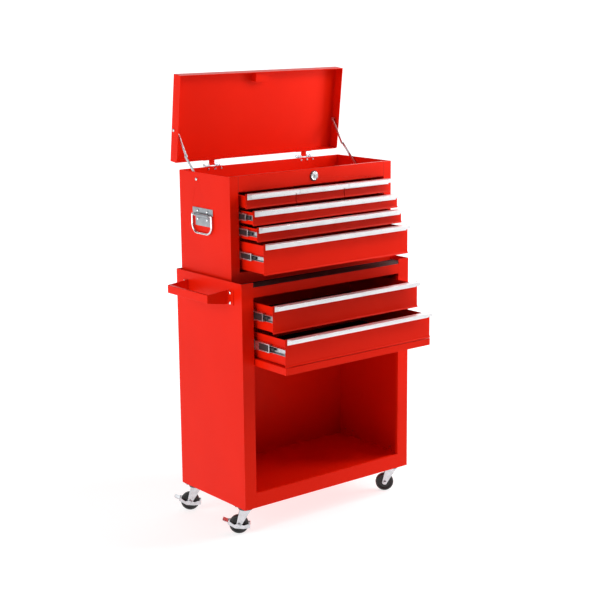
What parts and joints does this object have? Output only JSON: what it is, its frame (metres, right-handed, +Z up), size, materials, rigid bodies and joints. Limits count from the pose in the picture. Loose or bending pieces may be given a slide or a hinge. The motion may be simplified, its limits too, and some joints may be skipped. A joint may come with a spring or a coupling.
{
  "type": "rolling tool chest",
  "caption": "Red sheet-metal rolling tool chest: a caster cabinet with slide-out drawers, push handle and flip-up door under a lift-off top chest with small drawers and a hinged lid",
  "frame": {"origin": "middle of the footprint of the whole object as stored, with the push handle, the part-open drawers and the open lid, on the floor under the wheels", "axes": "+Z up, -Y the front where the drawers open, +X the right-hand side seen from the front, so the push handle is on -X"},
  "size_m": [0.69, 0.5086, 1.2926],
  "materials": {
    "paint": "glossy red powder coat",
    "zinc": "zinc plated",
    "aluminium": "satin anodised",
    "chrome": "plated",
    "black_steel": "satin black",
    "rubber": "matt black",
    "wheel": "matt black",
    "roller": "black nylon"
  },
  "bodies": {
    "cabinet": {"cabinet_shell": "paint", "cabinet_top": "paint", "cabinet_base": "paint", "door_tracks": "zinc", "cabinet_slide_rails": "zinc", "top_mat": "rubber", "push_handle": "paint", "cabinet_screws": "chrome", "caster_plates": "black_steel"},
    "chest": {"chest_shell": "paint", "chest_base": "paint", "chest_tray": "paint", "chest_slide_rails": "zinc", "lid_hinges": "zinc", "lock_housing": "chrome", "handle_plates": "zinc"},
    "lid": {"lid": "paint"},
    "stay_lower": {"stay_lower_links": "zinc"},
    "stay_upper": {"stay_upper_links": "zinc"},
    "lock_plug": {"lock_plug": "zinc"},
    "carry_handle_left": {"carry_handle_left": "chrome"},
    "carry_handle_right": {"carry_handle_right": "chrome"},
    "door_rollers": {"door_rollers": "roller"},
    "door": {"door_panel": "paint"},
    "cabinet_drawer_upper": {"cabinet_drawer_upper": "paint", "cabinet_drawer_upper_pull": "aluminium", "cabinet_drawer_upper_runners": "zinc"},
    "cabinet_drawer_upper_mid": {"cabinet_drawer_upper_mid_slides": "zinc"},
    "cabinet_drawer_lower": {"cabinet_drawer_lower": "paint", "cabinet_drawer_lower_pull": "aluminium", "cabinet_drawer_lower_runners": "zinc"},
    "cabinet_drawer_lower_mid": {"cabinet_drawer_lower_mid_slides": "zinc"},
    "small_drawer_left": {"small_drawer_left": "paint", "small_drawer_left_pull": "aluminium"},
    "small_drawer_middle": {"small_drawer_middle": "paint", "small_drawer_middle_pull": "aluminium"},
    "small_drawer_right": {"small_drawer_right": "paint", "small_drawer_right_pull": "aluminium"},
    "shallow_drawer_upper": {"shallow_drawer_upper": "paint", "shallow_drawer_upper_pull": "aluminium", "shallow_drawer_upper_runners": "zinc"},
    "shallow_drawer_upper_mid": {"shallow_drawer_upper_mid_slides": "zinc"},
    "shallow_drawer_lower": {"shallow_drawer_lower": "paint", "shallow_drawer_lower_pull": "aluminium", "shallow_drawer_lower_runners": "zinc"},
    "shallow_drawer_lower_mid": {"shallow_drawer_lower_mid_slides": "zinc"},
    "deep_drawer": {"deep_drawer": "paint", "deep_drawer_pull": "aluminium", "deep_drawer_runners": "zinc"},
    "deep_drawer_mid": {"deep_drawer_mid_slides": "zinc"},
    "fork_front_left": {"caster_fork_front_left": "zinc"},
    "wheel_front_left": {"caster_wheel_front_left": "wheel"},
    "brake_front_left": {"brake_pedal_front_left": "zinc"},
    "fork_front_right": {"caster_fork_front_right": "zinc"},
    "wheel_front_right": {"caster_wheel_front_right": "wheel"},
    "fork_rear_left": {"caster_fork_rear_left": "zinc"},
    "wheel_rear_left": {"caster_wheel_rear_left": "wheel"},
    "brake_rear_left": {"brake_pedal_rear_left": "zinc"},
    "fork_rear_right": {"caster_fork_rear_right": "zinc"},
    "wheel_rear_right": {"caster_wheel_rear_right": "wheel"}
  },
  "joints": [
    {"name": "chest_lift", "type": "slide", "parent": "cabinet", "child": "chest", "axis": [0, 0, 1], "range_m": [0, 0.1]},
    {"name": "lid_hinge", "type": "hinge", "parent": "chest", "child": "lid", "pos_m": [0.035, 0.23012, 1.0268], "axis": [1, 0, 0], "range_deg": [0, 83.2]},
    {"name": "stay_lower_pivot", "type": "hinge", "parent": "chest", "child": "stay_lower", "pos_m": [0.035, 0.12722, 1.003], "axis": [1, 0, 0], "range_deg": [-32, 0]},
    {"name": "stay_upper_pivot", "type": "hinge", "parent": "lid", "child": "stay_upper", "pos_m": [0.035, 0.23216, 1.13299], "axis": [1, 0, 0], "range_deg": [0, 28]},
    {"name": "lock_turn", "type": "hinge", "parent": "chest", "child": "lock_plug", "pos_m": [0.035, -0.03198, 1.002], "axis": [0, -1, 0], "range_deg": [0, 90]},
    {"name": "carry_handle_left_swing", "type": "hinge", "parent": "chest", "child": "carry_handle_left", "pos_m": [-0.2663, 0.09882, 0.904], "axis": [0, 1, 0], "range_deg": [0, 95]},
    {"name": "carry_handle_right_swing", "type": "hinge", "parent": "chest", "child": "carry_handle_right", "pos_m": [0.3363, 0.09882, 0.904], "axis": [0, -1, 0], "range_deg": [0, 95]},
    {"name": "cabinet_drawer_upper_slide", "type": "slide", "parent": "cabinet", "child": "cabinet_drawer_upper", "axis": [0, -1, 0], "range_m": [-0.084, 0.176]},
    {"name": "cabinet_drawer_upper_mid_slide", "type": "slide", "parent": "cabinet", "child": "cabinet_drawer_upper_mid", "axis": [0, -1, 0], "range_m": [-0.043, 0.089]},
    {"name": "cabinet_drawer_lower_slide", "type": "slide", "parent": "cabinet", "child": "cabinet_drawer_lower", "axis": [0, -1, 0], "range_m": [-0.138, 0.122]},
    {"name": "cabinet_drawer_lower_mid_slide", "type": "slide", "parent": "cabinet", "child": "cabinet_drawer_lower_mid", "axis": [0, -1, 0], "range_m": [-0.07, 0.062]},
    {"name": "small_drawer_left_slide", "type": "slide", "parent": "chest", "child": "small_drawer_left", "axis": [0, -1, 0], "range_m": [-0.029, 0.131]},
    {"name": "small_drawer_middle_slide", "type": "slide", "parent": "chest", "child": "small_drawer_middle", "axis": [0, -1, 0], "range_m": [-0.029, 0.131]},
    {"name": "small_drawer_right_slide", "type": "slide", "parent": "chest", "child": "small_drawer_right", "axis": [0, -1, 0], "range_m": [-0.029, 0.131]},
    {"name": "shallow_drawer_upper_slide", "type": "slide", "parent": "chest", "child": "shallow_drawer_upper", "axis": [0, -1, 0], "range_m": [-0.062, 0.138]},
    {"name": "shallow_drawer_upper_mid_slide", "type": "slide", "parent": "chest", "child": "shallow_drawer_upper_mid", "axis": [0, -1, 0], "range_m": [-0.032, 0.07]},
    {"name": "shallow_drawer_lower_slide", "type": "slide", "parent": "chest", "child": "shallow_drawer_lower", "axis": [0, -1, 0], "range_m": [-0.08, 0.12]},
    {"name": "shallow_drawer_lower_mid_slide", "type": "slide", "parent": "chest", "child": "shallow_drawer_lower_mid", "axis": [0, -1, 0], "range_m": [-0.041, 0.061]},
    {"name": "deep_drawer_slide", "type": "slide", "parent": "chest", "child": "deep_drawer", "axis": [0, -1, 0], "range_m": [-0.108, 0.092]},
    {"name": "deep_drawer_mid_slide", "type": "slide", "parent": "chest", "child": "deep_drawer_mid", "axis": [0, -1, 0], "range_m": [-0.055, 0.047]},
    {"name": "door_slide", "type": "slide", "parent": "cabinet", "child": "door_rollers", "axis": [0, -1, 0], "range_m": [-0.065, 0.23]},
    {"name": "door_swing", "type": "hinge", "parent": "door_rollers", "child": "door", "pos_m": [0.035, 0.14372, 0.51], "axis": [1, 0, 0], "range_deg": [0, 90]},
    {"name": "caster_front_left_swivel", "type": "hinge", "parent": "cabinet", "child": "fork_front_left", "pos_m": [-0.245, -0.05628, 0.074], "axis": [0, 0, 1], "continuous": true},
    {"name": "wheel_front_left_spin", "type": "hinge", "parent": "fork_front_left", "child": "wheel_front_left", "pos_m": [-0.26065, -0.04383, 0.0275], "axis": [0.6225, 0.7826, 0], "continuous": true},
    {"name": "brake_front_left_press", "type": "hinge", "parent": "fork_front_left", "child": "brake_front_left", "pos_m": [-0.26065, -0.04383, 0.0275], "axis": [-0.6225, -0.7826, 0], "range_deg": [0, 10]},
    {"name": "caster_front_right_swivel", "type": "hinge", "parent": "cabinet", "child": "fork_front_right", "pos_m": [0.315, -0.05628, 0.074], "axis": [0, 0, 1], "continuous": true},
    {"name": "wheel_front_right_spin", "type": "hinge", "parent": "fork_front_right", "child": "wheel_front_right", "pos_m": [0.29935, -0.04383, 0.0275], "axis": [0.6225, 0.7826, 0], "continuous": true},
    {"name": "caster_rear_left_swivel", "type": "hinge", "parent": "cabinet", "child": "fork_rear_left", "pos_m": [-0.245, 0.19172, 0.074], "axis": [0, 0, 1], "continuous": true},
    {"name": "wheel_rear_left_spin", "type": "hinge", "parent": "fork_rear_left", "child": "wheel_rear_left", "pos_m": [-0.26065, 0.20417, 0.0275], "axis": [0.6225, 0.7826, 0], "continuous": true},
    {"name": "brake_rear_left_press", "type": "hinge", "parent": "fork_rear_left", "child": "brake_rear_left", "pos_m": [-0.26065, 0.20417, 0.0275], "axis": [-0.6225, -0.7826, 0], "range_deg": [0, 10]},
    {"name": "caster_rear_right_swivel", "type": "hinge", "parent": "cabinet", "child": "fork_rear_right", "pos_m": [0.315, 0.19172, 0.074], "axis": [0, 0, 1], "continuous": true},
    {"name": "wheel_rear_right_spin", "type": "hinge", "parent": "fork_rear_right", "child": "wheel_rear_right", "pos_m": [0.29935, 0.20417, 0.0275], "axis": [0.6225, 0.7826, 0], "continuous": true}
  ],
  "couplings": [
    {"joint": "stay_lower_pivot", "follows": "lid_hinge", "ratio": -0.37511},
    {"joint": "stay_upper_pivot", "follows": "lid_hinge", "ratio": 0.32495},
    {"joint": "cabinet_drawer_upper_mid_slide", "follows": "cabinet_drawer_upper_slide", "ratio": 0.5},
    {"joint": "cabinet_drawer_lower_mid_slide", "follows": "cabinet_drawer_lower_slide", "ratio": 0.5},
    {"joint": "shallow_drawer_upper_mid_slide", "follows": "shallow_drawer_upper_slide", "ratio": 0.5},
    {"joint": "shallow_drawer_lower_mid_slide", "follows": "shallow_drawer_lower_slide", "ratio": 0.5},
    {"joint": "deep_drawer_mid_slide", "follows": "deep_drawer_slide", "ratio": 0.5}
  ]
}
